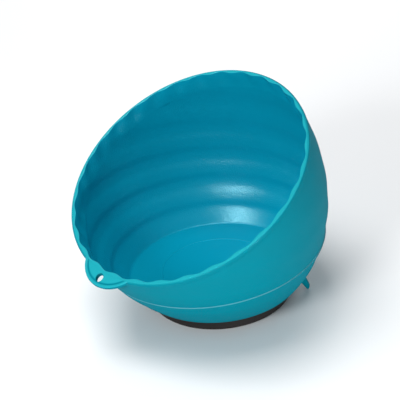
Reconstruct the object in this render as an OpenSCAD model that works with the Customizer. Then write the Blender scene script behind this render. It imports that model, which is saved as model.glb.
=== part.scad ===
// Magnetic parts tray: a deep, leaning round bowl of soft moulded plastic on a magnetic foot.
// Millimetres, +Z up. The origin is the centre of the resting face under the foot.
// The bowl leans towards -Y, where the low side of its slanted rim carries the hanging tab.

/* [Bowl] */
// Radius of the egg-shaped bowl at its widest level section
bowl_r = 78.4; // [74:0.2:84]
// Height of the widest section
bowl_mid_z = 86; // [82:0.5:90]
// Height of the egg from its widest section to its lower pole
bowl_semi_h = 98.8; // [96:0.2:106]
// Angle by which the centres of the level sections lean towards the tab
lean = 11.3; // [4:0.1:14]
// Thickness of the wall, measured level
wall = 2.2; // [1.6:0.1:3]
// Thickness of the floor over the magnet
floor_t = 2.8; // [2:0.1:4]
// Size of the soft corner between the floor and the wall
floor_round = 2.4; // [1:0.1:4]
// Size of the round on the lower edge of the bowl
skirt_round = 1.6; // [0.8:0.1:2.4]

/* [Rim] */
// Height of the slanted rim plane over the centre of the foot
rim_z = 100.5; // [92:0.1:104]
// Slope of the rim plane
rim_tilt = 30; // [20:0.5:32]
// How far the lip stands out from the outer wall, halfway round
lip_out = 0.7; // [0.5:0.1:1.5]
// How far each edge of the rim's band shifts outwards at the tab, and back again at the high side
band_shift = 0.25; // [0:0.05:0.4]
// Height of the lip's upright outer face
lip_h = 2.4; // [1.6:0.1:4]
// Size of the round on the lip's outer edge
lip_round = 0.5; // [0.3:0.1:1]
// Number of scallops along the inner edge of the rim
scallops = 30; // [20:1:40]
// Depth of a scallop, cut into the wall
scallop_depth = 1.1; // [0.6:0.1:1.3]
// Height over which the scallops fade out down the inside
scallop_fade = 12; // [8:0.5:18]

/* [Ripples] */
// Height of the first down-facing flank of the ripples
ripple_z = 28.5; // [24:0.5:32]
// Height from the first ripple to the second
ripple_pitch = 17; // [14:0.5:22]
// Extra height that each further ripple gains
ripple_growth = 0.6; // [0.2:0.1:1]
// Height of the ripples' wave on the inside, from its middle
ripple_in = 0.4; // [0.2:0.05:1.2]
// Height of the ripples' wave on the outside, from its middle
ripple_out = 0.2; // [0.1:0.05:0.8]

/* [Hanging tab] */
// Radius of the tab's round outline
tab_r = 23.8; // [20:0.2:28]
// How far the tab stands out from the lip, along the rim plane
tab_reach = 7.7; // [7:0.1:10]
// Thickness of the tab
tab_t = 2.4; // [1.8:0.1:3]
// Step from the rim plane down to the top of the tab
tab_step = 0.1; // [0.1:0.1:0.8]
// Diameter of the hanging hole
hole_d = 5.4; // [3.5:0.1:5.8]
// Distance from the tip of the tab to the middle of the hanging hole
hole_inset = 5.1; // [4.8:0.1:5.6]

/* [Rear fins] */
// Angle of each rear fin from the middle of the tray's back
fin_angle = 48; // [30:1:60]
// Radius of a fin's outer edge
fin_r = 55; // [53:0.1:56]
// Thickness of a fin
fin_t = 3; // [2:0.1:4]
// Height of a fin's tip above the resting face
fin_lift = 0.4; // [0.2:0.1:1]
// Width of a fin's blunt tip
fin_tip_w = 1.8; // [1.2:0.1:2.6]

/* [Foot] */
// Radius of the black foot
foot_r = 44; // [43:0.1:46]
// Height of the foot that shows under the bowl
foot_h = 8.2; // [7.6:0.1:9]
// Thickness of the cup's wall
cup_wall = 1.7; // [1.4:0.1:2]
// Thickness of the cup's floor
cup_floor = 2; // [1.8:0.1:2.6]
// How far the cup's locating wall is set in from the foot's outside
spigot_step = 1.3; // [1:0.1:1.6]
// Height of the locating wall inside the bowl
spigot_h = 3.8; // [2.5:0.1:4.2]
// Size of the round on the foot's lower edge
foot_round = 0.8; // [0.4:0.1:1.2]

/* [Foot pad] */
// Thickness of the anti-scratch pad
pad_t = 1.2; // [0.9:0.1:1.6]
// How far the pad stands out under the cup
pad_proud = 0.4; // [0.2:0.1:0.6]
// Width of the cup's edge that shows round the pad
pad_margin = 2.6; // [2:0.1:3]

/* [Magnet] */
// Radius of the hole in the ring magnet
magnet_hole_r = 16; // [12:0.1:18]
// Thickness of the ring magnet
magnet_h = 10; // [9.4:0.1:10.6]
// Size of the chamfers on the ring magnet
magnet_chamfer = 0.8; // [0.4:0.1:1.2]
// Thickness of the rib that centres the magnet under the floor
rib_t = 1.6; // [1.2:0.1:1.8]

/* [Screws] */
// Number of screws that hold the foot
screw_count = 4; // [3:1:6]
// Diameter of a screw's core
screw_d = 2.3; // [2:0.1:2.6]
// Diameter of a screw's countersunk head
screw_head_d = 5.2; // [4.6:0.1:5.4]
// Length of a screw with its head
screw_l = 9.5; // [8:0.1:10]
// Diameter of a screw boss
boss_d = 6; // [5.6:0.1:6.2]

/* [Fits] */
// Gap between parts that slide into each other
slide_gap = 0.3; // [0.2:0.05:0.4]
// Gap between a screw and its hole
screw_gap = 0.05; // [0.05:0.05:0.1]

/* [Hidden] */
// How far a cut reaches past the face that it opens
overrun = 1;
// Heights of the stack under the floor, from the resting face up
cup_z = pad_proud;
pad_seat_z = pad_t;
cup_floor_z = pad_seat_z + cup_floor;
skirt_z = cup_z + foot_h;
pocket_z = cup_floor_z + magnet_h + slide_gap;
floor_z = pocket_z + floor_t;
spigot_r = foot_r - spigot_step;
cup_inner_r = spigot_r - cup_wall;
pocket_r = spigot_r + slide_gap;
pad_r = foot_r - pad_margin;
boss_pitch_r = cup_inner_r - slide_gap - boss_d / 2;
rib_r = boss_pitch_r - boss_d / 2 - slide_gap - rib_t;
magnet_r = rib_r - slide_gap;
boss_z = cup_floor_z + slide_gap;
screw_head_h = (screw_head_d - screw_d) / 2;
pilot_end_z = pad_seat_z + screw_l + slide_gap;

// Counts along the bowl's skin: points in a coarse ring and, along the scallops, in a fine one
coarse = 2 * scallops;
split = 3;
fine = split * coarse;
inner_rows = 26;
outer_rows = 20;
corner_rows = 3;
settle_steps = 14;
scallop_shares = [0.3, 0.6, 0.85, 1];
// Scallops are spaced evenly on the slanted rim, whose level view is narrower by this share
scallop_squeeze_share = 0.92;
// Sharpening of the ripples' down-facing flanks
ripple_skew_share = 0.6;

// Reach of the lip at the tab, along the rim plane, and the seat of the tab inside the lip
lip_low = rim_pt(-90, 0, lip_at(-90))[1] / cos(rim_tilt);
tab_tip = lip_low - tab_reach;
tab_root = lip_low + (lip_at(-90) + wall) / 2;
hole_y = tab_tip + hole_inset;

$fn = 96;

teal = [0.03, 0.5, 0.58];
black = [0.08, 0.07, 0.07];
rubber = [0.13, 0.13, 0.13];
ferrite = [0.2, 0.2, 0.21];
zinc = [0.72, 0.73, 0.75];

function ease(t) = let (u = max(0, min(1, t))) u * u * (3 - 2 * u);
function mix(a, b, t) = a + (b - a) * t;
function bend(c, t) = mix(mix(c[0], c[1], t), mix(c[1], c[2], t), t);
function turn(n) = [for (i = [0:n - 1]) 360 * i / n - 90];

// The egg: radius and centre of its level section at a height, and its lower height at a radius
function egg_r(z) = bowl_r * sqrt(max(0, 1 - pow((z - bowl_mid_z) / bowl_semi_h, 2)));
function egg_z(r) = bowl_mid_z - bowl_semi_h * sqrt(max(0, 1 - pow(r / bowl_r, 2)));
function lean_y(z) = -tan(lean) * (z - skirt_z);

// Height at which the egg meets the rim plane in a direction, settled step by step
function rim_top(a, z = rim_z, n = settle_steps) =
    n == 0 ? z : rim_top(a, rim_z + tan(rim_tilt) * (lean_y(z) + egg_r(z) * sin(a)), n - 1);

// The ripples: a wave along the height whose pitch grows, with a down-facing flank at each count
function ripple_count(z) =
    (sqrt(pow(ripple_pitch, 2) + 4 * ripple_growth * (z - ripple_z)) - ripple_pitch)
    / (2 * ripple_growth);
function ripple(z) =
    let (t = 360 * ripple_count(z))
    -sin(t + ripple_skew_share * sin(t) * 180 / PI) * ease((z - floor_z) / (ripple_z - floor_z));

// A point of the skin in a direction, at a height or at a depth under the rim plane
function skin_pt(a, z, out) =
    let (r = egg_r(z) + out) [r * cos(a), lean_y(z) + r * sin(a), z];
function rim_pt(a, depth, out) =
    let (z = rim_top(a) - depth, r = egg_r(z) + out)
    [r * cos(a), lean_y(z) + r * sin(a), z + tan(rim_tilt) * out * sin(a)];

// Reach of the lip in a direction, and the wave of the scallops: 1 in each cut and 0 between two
function lip_at(a) = lip_out - band_shift * sin(a);
function scallop(a) =
    let (t = atan2(sin(a), scallop_squeeze_share * cos(a)) + 90) (1 + cos(scallops * t)) / 2;

// Rings of points: soft corners, inside wall, scallops under the rim, lip and outside wall
floor_corner = [[egg_r(floor_z) - wall - floor_round, floor_z], [egg_r(floor_z) - wall, floor_z],
    [egg_r(floor_z + floor_round) - wall, floor_z + floor_round]];
skirt_corner = [[egg_r(skirt_z + skirt_round), skirt_z + skirt_round], [egg_r(skirt_z), skirt_z],
    [egg_r(skirt_z) - skirt_round, skirt_z]];
function corner_ring(corner, t) =
    let (p = bend(corner, t))
    [for (a = turn(coarse)) [p[0] * cos(a), lean_y(p[1]) + p[0] * sin(a), p[1]]];
function inner_ring(t) =
    [for (a = turn(coarse))
        let (z = mix(floor_z + floor_round, rim_top(a) - scallop_fade, t))
        skin_pt(a, z, ripple_in * ripple(z) - wall)];
function scallop_ring(share) =
    let (depth = scallop_fade * (1 - share), strength = ease(share))
    [for (a = turn(fine))
        rim_pt(a, depth, mix(ripple_in * ripple(rim_top(a) - depth),
            scallop_depth * scallop(a) + band_shift * sin(a), strength) - wall)];
function lip_ring(depth, inset) = [for (a = turn(coarse)) rim_pt(a, depth, lip_at(a) - inset)];
function outer_ring(t) =
    [for (a = turn(coarse))
        let (z = mix(rim_top(a) - lip_h - 2 * lip_at(a), skirt_z + skirt_round, t))
        skin_pt(a, z, ripple_out * ripple(z) * ease(t * outer_rows / 3))];

bowl_rings = concat(
    [for (j = [0:corner_rows - 1]) corner_ring(floor_corner, j / corner_rows)],
    [for (j = [0:inner_rows]) inner_ring(j / inner_rows)],
    [for (share = scallop_shares) scallop_ring(share)],
    [lip_ring(0, lip_round), lip_ring(lip_round, 0), lip_ring(lip_h, 0)],
    [for (j = [0:outer_rows]) outer_ring(j / outer_rows)],
    [for (j = [1:corner_rows]) corner_ring(skirt_corner, j / corner_rows)]);

// Faces between two neighbouring rings that start at points s0 and s1 and hold n0 and n1 points
function strip(s0, n0, s1, n1) =
    n0 == n1 ? [for (i = [0:n0 - 1]) let (k = (i + 1) % n0)
        each [[s0 + i, s0 + k, s1 + k], [s0 + i, s1 + k, s1 + i]]]
    : n0 < n1 ? [for (i = [0:n0 - 1]) each fan(s0 + i, s0 + (i + 1) % n0, s1, n1, i)]
    : [for (i = [0:n1 - 1]) each [for (f = fan(s1 + i, s1 + (i + 1) % n1, s0, n0, i))
        [f[0], f[2], f[1]]]];
// Faces between one coarse edge, from c0 to c1, and the fine points along it
function fan(c0, c1, s, n, i) =
    let (half = ceil(split / 2))
    concat([for (k = [0:split - 1])
        [k < half ? c0 : c1, s + (split * i + k + 1) % n, s + (split * i + k) % n]],
        [[c0, c1, s + (split * i + half) % n]]);
function starts(rings, i = 0, s = 0) =
    i == len(rings) ? [] : concat([s], starts(rings, i + 1, s + len(rings[i])));

// Closed skin over a stack of rings, with a flat face on the first and on the last
module skin(rings) {
    first = starts(rings);
    last = len(rings) - 1;
    faces = concat(
        [[for (i = [len(rings[0]) - 1:-1:0]) first[0] + i]],
        [for (j = [0:last - 1]) each strip(first[j], len(rings[j]), first[j + 1], len(rings[j + 1]))],
        [[for (i = [0:len(rings[last]) - 1]) first[last] + i]]);
    polyhedron([for (r = rings) each r], faces);
}

module ring(r_out, r_in, z0, z1) {
    translate([0, 0, z0]) difference() {
        cylinder(r = r_out, h = z1 - z0);
        translate([0, 0, -overrun]) cylinder(r = r_in, h = z1 - z0 + 2 * overrun);
    }
}

module at_rim() {
    translate([0, 0, rim_z]) rotate([rim_tilt, 0, 0]) children();
}

module round_screws() {
    for (i = [0:screw_count - 1]) rotate(360 * (i + 1 / 2) / screw_count)
        translate([boss_pitch_r, 0, 0]) children();
}

// Hanging tab: a crescent in the rim plane, rooted in the lip
module tab() {
    at_rim() translate([0, 0, -tab_step - tab_t]) linear_extrude(tab_t) difference() {
        translate([0, tab_tip + tab_r]) circle(tab_r);
        translate([0, tab_root + bowl_r]) circle(bowl_r);
    }
}

// Rear fin: a pointed gusset under the bowl's overhang, rooted in the wall
module fin() {
    root = [(pocket_r + egg_r(skirt_z)) / 2, skirt_z + skirt_round];
    rotate([90, 0, 0]) linear_extrude(fin_t, center = true) polygon([
        root, [fin_r - fin_tip_w, fin_lift], [fin_r - fin_tip_w / 3, fin_lift],
        [fin_r, fin_lift + fin_tip_w], [fin_r, egg_z(fin_r + wall)]]);
}

// Bowl: one soft moulding with the lip, the tab, the fins, and the pocket and bosses for the foot
module bowl() {
    color(teal) difference() {
        union() {
            difference() {
                skin(bowl_rings);
                translate([0, 0, skirt_z - overrun]) cylinder(r = pocket_r, h = pocket_z - skirt_z + overrun);
            }
            ring(rib_r + rib_t, rib_r, skirt_z, pocket_z + floor_t / 2);
            round_screws() translate([0, 0, boss_z]) cylinder(d = boss_d, h = pocket_z + floor_t / 2 - boss_z);
            tab();
            for (side = [-1, 1]) rotate(90 + side * fin_angle) fin();
        }
        round_screws() translate([0, 0, boss_z - overrun])
            cylinder(d = screw_d + 2 * screw_gap, h = pilot_end_z - boss_z + overrun);
        at_rim() translate([0, hole_y, -tab_step - tab_t - overrun])
            cylinder(d = hole_d, h = tab_t + 2 * overrun);
    }
}

// Ring magnet: sintered ferrite with chamfered edges, magnetised through its thickness
module ring_magnet() {
    c = magnet_chamfer;
    color(ferrite) translate([0, 0, cup_floor_z]) rotate_extrude() polygon([
        [magnet_hole_r + c, 0], [magnet_r - c, 0], [magnet_r, c], [magnet_r, magnet_h - c],
        [magnet_r - c, magnet_h], [magnet_hole_r + c, magnet_h], [magnet_hole_r, magnet_h - c],
        [magnet_hole_r, c]]);
}

// Base cup: the black foot, with a locating wall in the bowl's pocket and a recess for the pad
module base_cup() {
    color(black) difference() {
        union() {
            translate([0, 0, cup_z]) rotate_extrude() {
                square([foot_r - foot_round, foot_h]);
                translate([0, foot_round]) square([foot_r, foot_h - foot_round]);
                translate([foot_r - foot_round, foot_round]) circle(foot_round);
            }
            translate([0, 0, cup_z + foot_h / 2]) cylinder(r = spigot_r, h = foot_h / 2 + spigot_h);
        }
        translate([0, 0, cup_floor_z]) cylinder(r = cup_inner_r, h = foot_h + spigot_h);
        translate([0, 0, cup_z - overrun])
            cylinder(r = pad_r + slide_gap, h = pad_seat_z - cup_z + overrun);
        round_screws() {
            translate([0, 0, pad_seat_z - overrun])
                cylinder(d = screw_d + 2 * slide_gap, h = cup_floor + 2 * overrun);
            translate([0, 0, pad_seat_z - overrun])
                cylinder(d1 = screw_head_d + 2 * (overrun + screw_gap), d2 = screw_d + 2 * screw_gap,
                    h = screw_head_h + overrun);
        }
    }
}

// Screws: countersunk self-tappers with a cross recess, heads flush under the pad
module base_screws() {
    core_r = screw_d / 2;
    recess = [screw_head_d / 2, screw_d / 4, screw_head_h / 2];
    color(zinc) round_screws() translate([0, 0, pad_seat_z]) difference() {
        rotate_extrude() polygon([
            [0, 0], [screw_head_d / 2, 0], [core_r, screw_head_h], [core_r, screw_l - screw_d],
            [core_r / 4, screw_l], [0, screw_l]]);
        for (a = [0, 90]) rotate(a) translate([0, 0, (recess[2] - overrun) / 2])
            cube(recess + [0, 0, overrun], center = true);
    }
}

// Foot pad: anti-scratch rubber disc stuck into the cup's recess
module foot_pad() {
    edge = pad_proud / 2;
    color(rubber) rotate_extrude() polygon([
        [0, 0], [pad_r - edge, 0], [pad_r, edge], [pad_r, pad_t], [0, pad_t]]);
}

bowl();
ring_magnet();
base_cup();
base_screws();
foot_pad();
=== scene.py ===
import math

import bpy
from mathutils import Matrix, Vector


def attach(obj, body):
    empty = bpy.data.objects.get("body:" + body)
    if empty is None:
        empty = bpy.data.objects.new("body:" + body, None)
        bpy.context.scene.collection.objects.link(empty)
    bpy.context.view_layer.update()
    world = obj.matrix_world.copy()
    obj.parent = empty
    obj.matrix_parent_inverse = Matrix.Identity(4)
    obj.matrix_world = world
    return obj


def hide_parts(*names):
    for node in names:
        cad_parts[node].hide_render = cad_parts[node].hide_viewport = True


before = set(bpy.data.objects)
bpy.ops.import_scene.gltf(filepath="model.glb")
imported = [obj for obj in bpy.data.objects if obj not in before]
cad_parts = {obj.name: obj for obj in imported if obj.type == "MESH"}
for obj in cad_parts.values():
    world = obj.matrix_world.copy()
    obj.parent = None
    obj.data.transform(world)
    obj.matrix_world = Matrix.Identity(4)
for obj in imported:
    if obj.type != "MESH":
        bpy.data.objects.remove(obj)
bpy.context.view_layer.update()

# Bowl: one soft injection moulding in teal plastic with a fine eroded grain.
# Its egg-shaped wall leans towards the tab and ripples on its way up to a slanted, scalloped rim.
# A grid is wrapped round it row by row: floor, inside, rim, lip, outside, skirt and pocket.
bowl_r = 0.0784
bowl_mid_z = 0.086
bowl_semi_h = 0.0988
lean = math.radians(11.3)
wall = 0.0022
skirt_z = 0.0086
skirt_round = 0.0016
floor_z = 0.0163
floor_round = 0.001
pocket_z = 0.0135
pocket_r = 0.043
rim_z = 0.1005
rim_tilt = math.radians(30)
rim_edge = 0.0004
lip_out = 0.0006
lip_shift = 0.00015
scallop_shift = 0.00025
lip_h = 0.0024
lip_round = 0.0005
lip_root_slope = 2
ledge_in = 0.0004
ledge_w = 0.0002
ledge_drop = 0.0004
scallops = 30
scallop_depth = 0.0011
scallop_fade = 0.012
scallop_squeeze = 0.92
ripple_z = 0.0285
ripple_pitch = 0.017
ripple_growth = 0.0006
ripple_in = 0.0006
ripple_out = 0.00025
ripple_inset = 0.00005
ripple_lead_in = 1 / 6
ripple_edge = 0.11
ripple_skew = 0.05
ripple_calm = 0.58
parting_z = 0.0394
parting_tilt = math.radians(4.8)
parting_front = 0.0004
parting_back = 0.0007
parting_w = 0.0004
parting_fade = 0.012
witness_r = 0.0339
witness_h = 0.00025
witness_w = 0.0006
scallop_columns = 12
columns = scallop_columns * scallops
settle_steps = 14


def ease(t):
    u = max(0.0, min(1.0, t))
    return u * u * (3 - 2 * u)


def mix(a, b, t):
    return a + (b - a) * t


def steps(count, first=0):
    return [i / count for i in range(first, count + 1)]


def bead(distance, width, height):
    return height * ease(1 - abs(distance) / width)


def egg_r(z):
    return bowl_r * math.sqrt(max(0.0, 1 - ((z - bowl_mid_z) / bowl_semi_h) ** 2))


def lean_y(z):
    return -math.tan(lean) * (z - skirt_z)


def settle(angle, middle_z, tilt):
    """The height at which the wall, at an angle round it, meets a plane that rises towards the back."""
    z = middle_z
    for _ in range(settle_steps):
        z = middle_z + math.tan(tilt) * (lean_y(z) + egg_r(z) * math.sin(angle))
    return z


turn = [2 * math.pi * i / columns - math.pi / 2 for i in range(columns + 1)]
rim_tops = {angle: settle(angle, rim_z, rim_tilt) for angle in turn}
partings = {angle: settle(angle, parting_z, parting_tilt) for angle in turn}


def ripple(z):
    """The wave of the ripples at a height, about 1 high. It grows in above the floor."""
    reach = math.sqrt(ripple_pitch**2 + 4 * ripple_growth * (z - ripple_z)) - ripple_pitch
    swing = 2 * math.pi * (reach / (2 * ripple_growth))
    wave = math.sin(swing) + ripple_skew * math.sin(2 * swing) + ripple_edge * math.sin(3 * swing)
    return -wave * ripple_start(z)


def ripple_start(z):
    return ease((z - floor_z) / (ripple_z - floor_z))


def ripple_strength(z):
    return 1 - ripple_calm * ease((z - ripple_z) / (rim_z - ripple_z))


def outside_ripple(z):
    return ripple_out * ripple(z) * ripple_strength(z) - ripple_inset * ripple_start(z)


def inside_ripple(z):
    return ripple_in * ripple(z) * ripple_strength(z)


def scallop(angle):
    from_tab = math.atan2(math.sin(angle), scallop_squeeze * math.cos(angle)) + math.pi / 2
    return (1 + math.cos(scallops * from_tab)) / 2


def lip_at(angle):
    return lip_out - lip_shift * math.sin(angle)


def level_point(angle, r, z, y=0.0):
    return Vector((r * math.cos(angle), y + r * math.sin(angle), z))


def skin_point(angle, z, out):
    return level_point(angle, egg_r(z) + out, z, lean_y(z))


def rim_point(angle, depth, out):
    """A point at a depth under the rim's face and at a distance out from the wall's plain outside."""
    z = rim_tops[angle] - depth
    point = skin_point(angle, z, out)
    point.z += math.tan(rim_tilt) * out * math.sin(angle)
    return point


def corner_point(angle, ends, t):
    """A point on the soft curve that takes the place of a corner, between its two ends."""
    (r0, z0), (r1, z1), (r2, z2) = ends
    r = mix(mix(r0, r1, t), mix(r1, r2, t), t)
    z = mix(mix(z0, z1, t), mix(z1, z2, t), t)
    return level_point(angle, r, z, lean_y(z))


def floor_point(angle, r):
    return level_point(angle, r, floor_z + bead(r - witness_r, witness_w, witness_h), lean_y(floor_z))


def cove_point(angle, t):
    r = egg_r(floor_z) - wall
    ends = [(r - floor_round, floor_z), (r, floor_z),
            (egg_r(floor_z + floor_round) - wall, floor_z + floor_round)]
    return corner_point(angle, ends, t)


def inside_point(angle, t):
    z = mix(floor_z + floor_round, rim_tops[angle] - scallop_fade, t)
    return skin_point(angle, z, inside_ripple(z) - wall)


def scallop_out(angle, depth):
    plain = inside_ripple(rim_tops[angle] - depth)
    cut = scallop_depth * scallop(angle) + scallop_shift * math.sin(angle)
    return mix(plain, cut, ease(1 - depth / scallop_fade)) - wall


def flute_point(angle, t):
    depth = mix(scallop_fade, rim_edge, t)
    return rim_point(angle, depth, scallop_out(angle, depth))


def rim_edge_point(angle, t):
    swing = t * math.pi / 2
    out = scallop_out(angle, 0) + rim_edge * (1 - math.cos(swing))
    return rim_point(angle, rim_edge * (1 - math.sin(swing)), out)


def rim_face_point(angle, t):
    return rim_point(angle, 0, mix(scallop_out(angle, 0) + rim_edge, -ledge_in, t))


def ledge_step_point(angle, t):
    return rim_point(angle, ledge_drop * ease(t), ledge_w * t - ledge_in)


def ledge_point(angle, t):
    return rim_point(angle, ledge_drop, mix(ledge_w - ledge_in, lip_at(angle) - lip_round, t))


def lip_edge_point(angle, t):
    swing = t * math.pi / 2
    depth = ledge_drop + lip_round * (1 - math.cos(swing))
    return rim_point(angle, depth, lip_at(angle) - lip_round * (1 - math.sin(swing)))


def lip_point(angle, t):
    return rim_point(angle, mix(ledge_drop + lip_round, lip_h, t), lip_at(angle))


def lip_root_point(angle, t):
    return rim_point(angle, lip_h + lip_root_slope * lip_at(angle) * t, lip_at(angle) * (1 - ease(t)))


def outside_point(angle, z, start):
    """A point on the outside, with its ripple and with the step under the parting line."""
    below = partings[angle] - z
    step = mix(parting_front, parting_back, ease((1 + math.sin(angle)) / 2))
    step *= ease(below / parting_w) * (1 - ease((below - parting_w) / parting_fade))
    return skin_point(angle, z, outside_ripple(z) * start + step)


def upper_outside_point(angle, t):
    z = mix(rim_tops[angle] - lip_h - lip_root_slope * lip_at(angle), partings[angle], t)
    return outside_point(angle, z, ease(t / ripple_lead_in))


def parting_point(angle, t):
    return outside_point(angle, partings[angle] - parting_w * t, 1)


def lower_outside_point(angle, t):
    return outside_point(angle, mix(partings[angle] - parting_w, skirt_z + skirt_round, t), 1)


def skirt_point(angle, t):
    r = egg_r(skirt_z)
    top_z = skirt_z + skirt_round
    ends = [(egg_r(top_z), top_z), (r, skirt_z), (r - skirt_round, skirt_z)]
    return corner_point(angle, ends, t)


def underside_point(angle, t):
    return level_point(angle, mix(egg_r(skirt_z) - skirt_round, pocket_r, t), skirt_z)


def pocket_point(angle, t):
    return level_point(angle, pocket_r, mix(skirt_z, pocket_z, t))


def ceiling_point(angle, t):
    return level_point(angle, pocket_r * (1 - t), pocket_z)


floor_edge_r = egg_r(floor_z) - wall - floor_round
# The first and last of these rows lie flat, so that the floor beside the circle is shaded flat too.
witness_rows = [witness_r + witness_w * k for k in (-1.2, -1, -0.5, 0, 0.5, 1, 1.2)]
floor_rows = sorted([floor_edge_r * t for t in steps(6)] + witness_rows)
rows = [(floor_point, r) for r in floor_rows[:-1]]
for point, count, first in [
        (cove_point, 8, 0), (inside_point, 66, 1), (flute_point, 16, 1), (rim_edge_point, 4, 1),
        (rim_face_point, 2, 1), (ledge_step_point, 3, 1), (ledge_point, 1, 1), (lip_edge_point, 5, 1),
        (lip_point, 2, 1), (lip_root_point, 6, 1), (upper_outside_point, 58, 1), (parting_point, 4, 1),
        (lower_outside_point, 18, 1), (skirt_point, 8, 1), (underside_point, 2, 1), (pocket_point, 2, 1),
        (ceiling_point, 2, 1)]:
    rows += [(point, t) for t in steps(count, first)]

bpy.ops.object.select_all(action="DESELECT")
bpy.ops.mesh.primitive_grid_add(x_subdivisions=columns, y_subdivisions=len(rows) - 1, size=1)
bowl = bpy.context.object
bowl.name = "bowl_moulding"
for vertex in bowl.data.vertices:
    angle = turn[round((vertex.co.x + 0.5) * columns)]
    point, place = rows[round((vertex.co.y + 0.5) * (len(rows) - 1))]
    vertex.co = point(angle, place)


def select_mesh():
    bpy.ops.mesh.select_all(action="SELECT")


def in_edit_mode(piece, *operators):
    """Runs operators on the whole of a piece's mesh, in edit mode."""
    bpy.ops.object.select_all(action="DESELECT")
    piece.select_set(True)
    bpy.context.view_layer.objects.active = piece
    bpy.ops.object.mode_set(mode="EDIT")
    select_mesh()
    for operator in operators:
        operator()
    bpy.ops.object.mode_set(mode="OBJECT")


def merge():
    bpy.ops.mesh.remove_doubles(threshold=1e-6)


def face_outwards():
    bpy.ops.mesh.normals_make_consistent(inside=False)


def add_modifier(piece, kind, **settings):
    """Adds a modifier with its settings and applies it."""
    bpy.ops.object.select_all(action="DESELECT")
    piece.select_set(True)
    bpy.context.view_layer.objects.active = piece
    modifier = piece.modifiers.new(kind.lower(), kind)
    for name, value in settings.items():
        setattr(modifier, name, value)
    bpy.ops.object.modifier_apply(modifier=modifier.name)


def combine(piece, tool, operation):
    """Joins a tool's solid to a piece, or cuts it out, and removes the tool."""
    add_modifier(piece, "BOOLEAN", object=tool, operation=operation, solver="MANIFOLD")
    bpy.data.objects.remove(tool)


def settle_place(piece):
    """Moves a piece's place and turn into its mesh, so that its object sits at the origin."""
    bpy.ops.object.select_all(action="DESELECT")
    piece.select_set(True)
    bpy.context.view_layer.objects.active = piece
    bpy.ops.object.transform_apply(location=True, rotation=True, scale=True)


def add_cylinder(r, h, place, turned=(0, 0, 0), sides=96):
    """Adds a plain cylinder whose middle is at a place."""
    bpy.ops.object.select_all(action="DESELECT")
    bpy.ops.mesh.primitive_cylinder_add(vertices=sides, radius=r, depth=h, location=place, rotation=turned)
    settle_place(bpy.context.object)
    return bpy.context.object


in_edit_mode(bowl, merge, face_outwards)

# Rib and bosses: moulded with the bowl, under its floor.
# The rib centres the ring magnet, and the four blind bosses take the screws that hold the foot.
floor_t = floor_z - pocket_z
root_z = pocket_z + floor_t / 2
rib_r = 0.0328
rib_t = 0.0016
boss_z = 0.0035
boss_r = 0.003
boss_pitch_r = 0.0377
pilot_r = 0.0012
pilot_end_z = 0.011
screw_count = 4

bpy.ops.object.select_all(action="DESELECT")
bpy.ops.mesh.primitive_circle_add(vertices=128, radius=rib_r + rib_t / 2, location=(0, 0, skirt_z))
rib = bpy.context.object
settle_place(rib)
in_edit_mode(rib, lambda: bpy.ops.mesh.extrude_region_move(
    TRANSFORM_OT_translate={"value": (0, 0, root_z - skirt_z)}))
add_modifier(rib, "SOLIDIFY", thickness=rib_t, offset=0)
in_edit_mode(rib, face_outwards)
combine(bowl, rib, "UNION")
screw_places = [Vector((boss_pitch_r * math.cos(a), boss_pitch_r * math.sin(a), 0))
                for a in [2 * math.pi * (i + 0.5) / screw_count for i in range(screw_count)]]
for place in screw_places:
    boss = add_cylinder(boss_r, root_z - boss_z, place + Vector((0, 0, (root_z + boss_z) / 2)), sides=48)
    combine(bowl, boss, "UNION")
    pilot_h = 2 * (pilot_end_z - boss_z)
    pilot = add_cylinder(pilot_r, pilot_h, place + Vector((0, 0, pilot_end_z - pilot_h / 2)), sides=32)
    combine(bowl, pilot, "DIFFERENCE")

# Hanging tab: a flat crescent in the plane of the rim, moulded on at the bowl's low side.
# It lies a little under the rim's face, has soft edges, and a hole for a hook or a nail.
tab_r = 0.0238
tab_reach = 0.0077
tab_t = 0.0024
tab_step = 0.0001
tab_edge = 0.0009
tab_dish = 0.0004
dish_w = 0.005
bead_w = 0.0022
hole_r = 0.0027
hole_inset = 0.0051
low_side = turn[0]
low_lip = lip_at(low_side)
lip_low = rim_point(low_side, 0, low_lip).y / math.cos(rim_tilt)
tab_tip = lip_low - tab_reach
tab_root = lip_low + (low_lip + wall) / 2
rim_turn = (rim_tilt, 0, 0)


def in_rim_plane(y, below):
    """The place of a point that lies below the rim plane, y along its slope from the middle."""
    return Vector((0, 0, rim_z)) + Matrix.Rotation(rim_tilt, 3, "X") @ Vector((0, y, -below))


def tab_profile():
    """Outline of the round tab from its middle, in radius and depth: a dish, a bead and a soft edge."""
    points = [(0, tab_step)]
    for t in steps(8):
        points.append((tab_r - dish_w + (dish_w - bead_w) * t, tab_step + tab_dish * ease(t)))
    for t in steps(5, 1):
        points.append((mix(tab_r - bead_w, tab_r - tab_edge, t), tab_step + tab_dish * (1 - ease(t))))
    for t in steps(6, 1):
        swing = t * math.pi / 2
        inset = tab_edge * (1 - math.sin(swing))
        points.append((tab_r - inset, tab_step + tab_edge * (1 - math.cos(swing))))
    for t in steps(6):
        swing = t * math.pi / 2
        inset = tab_edge * (1 - math.cos(swing))
        points.append((tab_r - inset, tab_step + tab_t - tab_edge * (1 - math.sin(swing))))
    return points + [(0, tab_step + tab_t)]


def spin_profile():
    bpy.ops.mesh.spin(steps=180, angle=2 * math.pi, center=(0, 0, 0), axis=(0, 0, 1))


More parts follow.
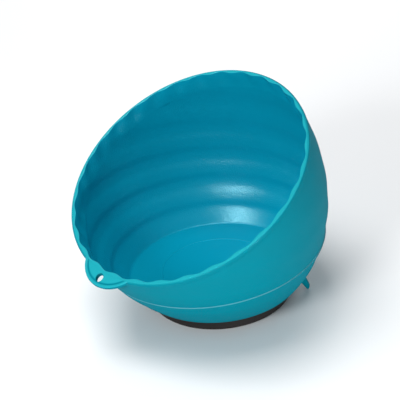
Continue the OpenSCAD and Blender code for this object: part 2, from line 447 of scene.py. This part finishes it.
bpy.ops.object.select_all(action="DESELECT")
bpy.ops.mesh.primitive_circle_add(vertices=len(tab_profile()), fill_type="NGON")
tab = bpy.context.object
for vertex, (r, depth) in zip(tab.data.vertices, tab_profile()):
    vertex.co = (r, 0, -depth)
in_edit_mode(tab, lambda: bpy.ops.mesh.delete(type="ONLY_FACE"), select_mesh, spin_profile,
             select_mesh, merge, face_outwards)
tab.location = in_rim_plane(tab_tip + tab_r, 0)
tab.rotation_euler = rim_turn
settle_place(tab)
tab_middle = tab_step + tab_t / 2
cutter_h = 4 * tab_t
hole_place = in_rim_plane(tab_tip + hole_inset, tab_middle)
hanging_hole = add_cylinder(hole_r, cutter_h, hole_place, rim_turn, sides=64)
combine(tab, hanging_hole, "DIFFERENCE")
inside_place = in_rim_plane(tab_root + bowl_r, tab_middle)
inside_of_lip = add_cylinder(bowl_r, cutter_h, inside_place, rim_turn, sides=360)
combine(tab, inside_of_lip, "DIFFERENCE")
combine(bowl, tab, "UNION")

# Rear fins: two small pointed pegs under the bowl's overhang, moulded with it.
# Each leans out in a plane through the middle of the foot and ends in a blunt tip just off the bench.
fin_angle = math.radians(48)
fin_r = 0.055
fin_root_r = 0.0465
fin_top_r = 0.0507
fin_t = 0.003
fin_lift = 0.0004
fin_tip_w = 0.0018
fin_edge = 0.0005


def egg_z(r):
    """The height at which the lower half of the plain egg shape has a radius."""
    return bowl_mid_z - bowl_semi_h * math.sqrt(max(0.0, 1 - (r / bowl_r) ** 2))


fin_outline = [(fin_root_r, skirt_z + skirt_round), (fin_r - fin_tip_w, fin_lift),
               (fin_r - fin_tip_w / 3, fin_lift), (fin_r, fin_lift + fin_tip_w),
               (fin_top_r, egg_z(fin_top_r + wall))]
for side in (-1, 1):
    bpy.ops.object.select_all(action="DESELECT")
    bpy.ops.mesh.primitive_circle_add(vertices=len(fin_outline), fill_type="NGON")
    fin = bpy.context.object
    for vertex, (r, z) in zip(fin.data.vertices, fin_outline):
        vertex.co = (r, fin_t / 2, z)
    in_edit_mode(fin, lambda: bpy.ops.mesh.extrude_region_move(
        TRANSFORM_OT_translate={"value": (0, -fin_t, 0)}), face_outwards)
    add_modifier(fin, "BEVEL", width=fin_edge, segments=3, limit_method="ANGLE",
                 angle_limit=math.radians(20))
    fin.rotation_euler.z = math.pi / 2 + side * fin_angle
    settle_place(fin)
    combine(bowl, fin, "UNION")

in_edit_mode(bowl, merge, face_outwards)
bpy.ops.object.shade_smooth_by_angle(angle=math.radians(38))

# Teal plastic: the bowl's finish, with the mould's fine eroded grain and slow changes of gloss.
# The inside wall is glossy and grainy, the floor is duller, and the outside has a thin, even coat.
# The three colours and shines are fitted to the photographed tones. The moulding itself is one plastic, so
# the outside's darker colour and the floor's slightly darker one are painted shade.


def new_group(name, inputs, outputs):
    """An empty shader group with named sockets, and its input and output nodes."""
    group = bpy.data.node_groups.new(name, "ShaderNodeTree")
    for label, kind, value in inputs:
        socket = group.interface.new_socket(name=label, in_out="INPUT", socket_type=kind)
        if value is not None:
            socket.default_value = value
    for label, kind in outputs:
        group.interface.new_socket(name=label, in_out="OUTPUT", socket_type=kind)
    return group, group.nodes.new("NodeGroupInput"), group.nodes.new("NodeGroupOutput")


def add_node(tree, kind, **settings):
    """Adds a node with its properties."""
    node = tree.nodes.new(kind)
    for name, value in settings.items():
        setattr(node, name, value)
    return node


def add_noise(tree, vector, scale, detail):
    """Adds a noise texture whose scale is a number or a socket."""
    noise = add_node(tree, "ShaderNodeTexNoise")
    noise.inputs["Detail"].default_value = detail
    tree.links.new(vector, noise.inputs["Vector"])
    if isinstance(scale, (int, float)):
        noise.inputs["Scale"].default_value = scale
    else:
        tree.links.new(scale, noise.inputs["Scale"])
    return noise


grain_group, grain_in, grain_out = new_group(
    "mould_grain",
    [("Vector", "NodeSocketVector", None), ("Grains per Metre", "NodeSocketFloat", 1500.0)],
    [("Height", "NodeSocketFloat"), ("Gloss Drift", "NodeSocketFloat")])
fine = add_noise(grain_group, grain_in.outputs["Vector"], grain_in.outputs["Grains per Metre"], detail=2.0)
drift = add_noise(grain_group, grain_in.outputs["Vector"], scale=22.0, detail=3.0)
grain_group.links.new(fine.outputs["Fac"], grain_out.inputs["Height"])
grain_group.links.new(drift.outputs["Fac"], grain_out.inputs["Gloss Drift"])


def new_material(name):
    """A new node material, its tree, its Principled shader and its Object coordinates."""
    material = bpy.data.materials.new(name)
    material.use_nodes = True
    tree = material.node_tree
    shader = tree.nodes["Principled BSDF"]
    place = add_node(tree, "ShaderNodeTexCoord").outputs["Object"]
    return material, tree, shader, place


def moulded_finish(name, deep, pale, gloss, matt, grains, grain_h):
    """A moulded material: two shades of its colour, a range of roughness and a grain of a height."""
    material, tree, shader, place = new_material(name)
    grain = add_node(tree, "ShaderNodeGroup", node_tree=grain_group)
    grain.inputs["Grains per Metre"].default_value = grains
    tree.links.new(place, grain.inputs["Vector"])
    shade = add_node(tree, "ShaderNodeMix", data_type="RGBA")
    shade.inputs["A"].default_value = (*deep, 1)
    shade.inputs["B"].default_value = (*pale, 1)
    tree.links.new(grain.outputs["Gloss Drift"], shade.inputs["Factor"])
    tree.links.new(shade.outputs["Result"], shader.inputs["Base Color"])
    rough = add_node(tree, "ShaderNodeMapRange")
    rough.inputs["To Min"].default_value = gloss
    rough.inputs["To Max"].default_value = matt
    tree.links.new(grain.outputs["Gloss Drift"], rough.inputs["Value"])
    tree.links.new(rough.outputs["Result"], shader.inputs["Roughness"])
    bump = add_node(tree, "ShaderNodeBump")
    bump.inputs["Distance"].default_value = grain_h
    tree.links.new(grain.outputs["Height"], bump.inputs["Height"])
    tree.links.new(bump.outputs["Normal"], shader.inputs["Normal"])
    return material


def scaled_step(material, value, low, high, at_low=0.0, at_high=1.0):
    """A value's smooth change from one level to another between two limits."""
    step = add_node(material.node_tree, "ShaderNodeMapRange", interpolation_type="SMOOTHSTEP")
    for label, number in [("From Min", low), ("From Max", high), ("To Min", at_low), ("To Max", at_high)]:
        step.inputs[label].default_value = number
    material.node_tree.links.new(value, step.inputs["Value"])
    return step.outputs["Result"]


def over_plane(material, middle_z, tilt):
    """How far a surface is above a plane that rises towards the back by a tilt."""
    tree = material.node_tree
    place = add_node(tree, "ShaderNodeTexCoord").outputs["Object"]
    split = add_node(tree, "ShaderNodeVectorMath", operation="SUBTRACT")
    split.inputs[1].default_value = (0, 0, middle_z)
    tree.links.new(place, split.inputs[0])
    height = add_node(tree, "ShaderNodeVectorMath", operation="DOT_PRODUCT")
    height.inputs[1].default_value = (0, -math.sin(tilt), math.cos(tilt))
    tree.links.new(split.outputs["Vector"], height.inputs[0])
    return height.outputs["Value"]


def product(material, first, second):
    """The product of two values."""
    tree = material.node_tree
    node = add_node(tree, "ShaderNodeMath", operation="MULTIPLY")
    tree.links.new(first, node.inputs[0])
    tree.links.new(second, node.inputs[1])
    return node.outputs["Value"]


def tint(material, share, colour):
    """Mixes another colour into a material by a share."""
    tree = material.node_tree
    base = tree.nodes["Principled BSDF"].inputs["Base Color"]
    mixed = add_node(tree, "ShaderNodeMix", data_type="RGBA")
    mixed.inputs["B"].default_value = (*colour, 1)
    tree.links.new(share, mixed.inputs["Factor"])
    tree.links.new(base.links[0].from_socket, mixed.inputs["A"])
    tree.links.new(mixed.outputs["Result"], base)


teal_grains = 1250
painted_rim_light_level = 0.58
parting_highlight_level = 0.2
# The wall's colour is the plastic's own. The floor's and the outside's colours are darker copies of it,
# painted shade.
wall_teal = moulded_finish("teal_plastic", deep=(0.0, 0.27, 0.395), pale=(0.0, 0.305, 0.44),
                           gloss=0.22, matt=0.28, grains=teal_grains, grain_h=0.0002)
floor_teal_painted_shade = moulded_finish("teal_floor_painted_shade", deep=(0.0, 0.25, 0.367), pale=(0.0, 0.283, 0.41),
                            gloss=0.3, matt=0.36, grains=teal_grains, grain_h=0.00005)
outer_teal_painted_shade = moulded_finish("teal_outside_painted_shade", deep=(0.0, 0.185, 0.245), pale=(0.0, 0.191, 0.253),
                            gloss=0.22, matt=0.28, grains=teal_grains, grain_h=0.00008)
for teal, shine in [(wall_teal, 1.0), (floor_teal_painted_shade, 0.2), (outer_teal_painted_shade, 0.0)]:
    shader = teal.node_tree.nodes["Principled BSDF"]
    shader.inputs["Specular IOR Level"].default_value = shine
    shader.inputs["Specular Tint"].default_value = (0.42, 0.86, 0.97, 1)
# Painted light: the rim's face, its rounded inner edge and the tab's top are tinted a paler teal, standing
# in for the light that falls on these upward-facing surfaces.
for teal in (wall_teal, outer_teal_painted_shade):
    over_rim = over_plane(teal, rim_z, rim_tilt)
    ledge_at = -ledge_drop * math.cos(rim_tilt)
    painted_rim_light_mask = scaled_step(teal, over_rim, -tab_step - tab_dish, ledge_at, at_high=painted_rim_light_level)
    tint(teal, painted_rim_light_mask, colour=(0.02, 0.43, 0.49))

# Painted highlight: a thin band just under the parting line is tinted paler, standing in for the light
# that the step there catches.
over_parting = over_plane(outer_teal_painted_shade, parting_z, parting_tilt)
line_from = scaled_step(outer_teal_painted_shade, over_parting, -2 * parting_w, -parting_w)
line_to = scaled_step(outer_teal_painted_shade, over_parting, -parting_w / 2, parting_w, at_low=parting_highlight_level, at_high=0)
tint(outer_teal_painted_shade, product(outer_teal_painted_shade, line_from, line_to), colour=(0.3, 0.62, 0.68))

outer_shader = outer_teal_painted_shade.node_tree.nodes["Principled BSDF"]
outer_shader.inputs["Coat Weight"].default_value = 0.1
outer_shader.inputs["Coat Roughness"].default_value = 0.25

rim_up = Vector((0, -math.sin(rim_tilt), math.cos(rim_tilt)))
skim = 0.00002


def finish_and_painted_shade_at(place):
    """Which finish a place on the bowl has: 0 on the inside of the wall, 1 on the floor, 2 outside. The
    floor's and the outside's finishes also carry painted shade in their darker colours.
    """
    across = Vector((place.x, place.y - lean_y(place.z))).length
    under_rim = rim_up.dot(place - Vector((0, 0, rim_z))) < -skim
    if across > egg_r(place.z) - lip_out or place.z < floor_z - skim or not under_rim:
        return 2
    return 1 if place.z < floor_z + witness_h + skim else 0


bowl.data.materials.clear()
for teal in (wall_teal, floor_teal_painted_shade, outer_teal_painted_shade):
    bowl.data.materials.append(teal)
for face in bowl.data.polygons:
    face.material_index = finish_and_painted_shade_at(face.center)
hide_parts("bowl")
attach(bowl, "root")


def refinish(node, material):
    """Gives a CAD node a material in all its slots."""
    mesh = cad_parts[node].data
    mesh.materials.clear()
    mesh.materials.append(material)


# Ring magnet: sintered ferrite, dark grey and faintly grainy, with ground faces.
# It is centred by the rib and held up against the floor by the foot.
refinish("ring_magnet", moulded_finish("ferrite", deep=(0.03, 0.03, 0.033), pale=(0.07, 0.07, 0.075),
                                       gloss=0.45, matt=0.6, grains=2500, grain_h=0.00008))

# Base cup: the black plastic foot under the bowl, satin, with the same mould grain.
# Its locating wall sits in the bowl's pocket, and four screws hold it from below.
black = moulded_finish("black_plastic", deep=(0.011, 0.009, 0.009), pale=(0.016, 0.013, 0.012),
                       gloss=0.38, matt=0.5, grains=1800, grain_h=0.00008)
black.node_tree.nodes["Principled BSDF"].inputs["Specular IOR Level"].default_value = 0.25
refinish("base_cup", black)

# Base screws: zinc-plated countersunk self-tappers, flush under the pad.
# The plating is pale and bluish, with soft clouding.
zinc = moulded_finish("zinc_plating", deep=(0.5, 0.51, 0.54), pale=(0.66, 0.67, 0.69),
                      gloss=0.25, matt=0.4, grains=4000, grain_h=0.00001)
zinc.node_tree.nodes["Principled BSDF"].inputs["Metallic"].default_value = 1.0
refinish("base_screws", zinc)

# Foot pad: an anti-scratch rubber disc, stuck into the cup's recess over the screw heads.
# Matt and dark, it is what the tray stands on.
refinish("foot_pad", moulded_finish("pad_rubber", deep=(0.018, 0.018, 0.018), pale=(0.03, 0.03, 0.03),
                                    gloss=0.65, matt=0.8, grains=2200, grain_h=0.0001))

# Floor: a plain pale sweep under the tray, not part of it.
# Matt and nearly white, so that it throws soft light up at the bowl's outside.
sweep_w = 8.0
bpy.ops.object.select_all(action="DESELECT")
bpy.ops.mesh.primitive_plane_add(size=sweep_w)
sweep = bpy.context.object
sweep.name = "studio_floor"
paper, _, paper_shader, _ = new_material("pale_paper")
paper_shader.inputs["Base Color"].default_value = (0.85, 0.86, 0.87, 1)
paper_shader.inputs["Roughness"].default_value = 0.9
sweep.data.materials.append(paper)

# Lights: four soft boxes round the tray and a dim, pale room.
# The key shines in over the low side of the rim, the overhead one into the bowl.
# A low one lights its right, and one behind it keeps the back from going dark.
tray_middle = Vector((0, 0, 0.06))


def soft_box(name, azimuth, elevation, distance, width, height, power):
    """A rectangular area light that shines at the tray from a direction in degrees."""
    a, e = math.radians(azimuth), math.radians(elevation)
    way = Vector((math.sin(a) * math.cos(e), -math.cos(a) * math.cos(e), math.sin(e)))
    light = bpy.data.lights.new(name, "AREA")
    light.shape = "RECTANGLE"
    light.size = width
    light.size_y = height
    light.energy = power
    lamp = bpy.data.objects.new(name, light)
    lamp.location = tray_middle + way * distance
    lamp.rotation_euler = (-way).to_track_quat("-Z", "Y").to_euler()
    bpy.context.scene.collection.objects.link(lamp)


soft_box("key", azimuth=15, elevation=27, distance=1.3, width=0.44, height=0.27, power=9.5)
soft_box("overhead", azimuth=-30, elevation=78, distance=1.3, width=0.8, height=0.8, power=13.2)
soft_box("low_fill", azimuth=77, elevation=-3, distance=0.55, width=0.06, height=0.06, power=1.4)
soft_box("back_fill", azimuth=222, elevation=13, distance=1.3, width=0.7, height=0.7, power=8)
room = bpy.data.worlds.new("pale_room")
room.use_nodes = True
room.node_tree.nodes["Background"].inputs["Color"].default_value = (0.95, 0.97, 1.0, 1)
room.node_tree.nodes["Background"].inputs["Strength"].default_value = 0.235
bpy.context.scene.world = room
bpy.context.scene.view_settings.view_transform = "Standard"

# Camera: a long lens at the photographed angle, rolled a little.
# It stands to the right of the tab and looks down into the bowl.
camera_place = Vector((0.4756, -0.3716, 0.3995))
looks_at = Vector((-0.0322, 0.0155, 0.045))
camera_roll = math.radians(-6.25)
camera_data = bpy.data.cameras.new("camera")
camera_data.sensor_width = 36
camera_data.lens = 104.4
camera = bpy.data.objects.new("camera", camera_data)
facing_tray = (looks_at - camera_place).to_track_quat("-Z", "Y").to_matrix()
camera.rotation_euler = (facing_tray @ Matrix.Rotation(camera_roll, 3, "Z")).to_euler()
camera.location = camera_place
bpy.context.scene.collection.objects.link(camera)
bpy.context.scene.camera = camera

bpy.context.view_layer.update()
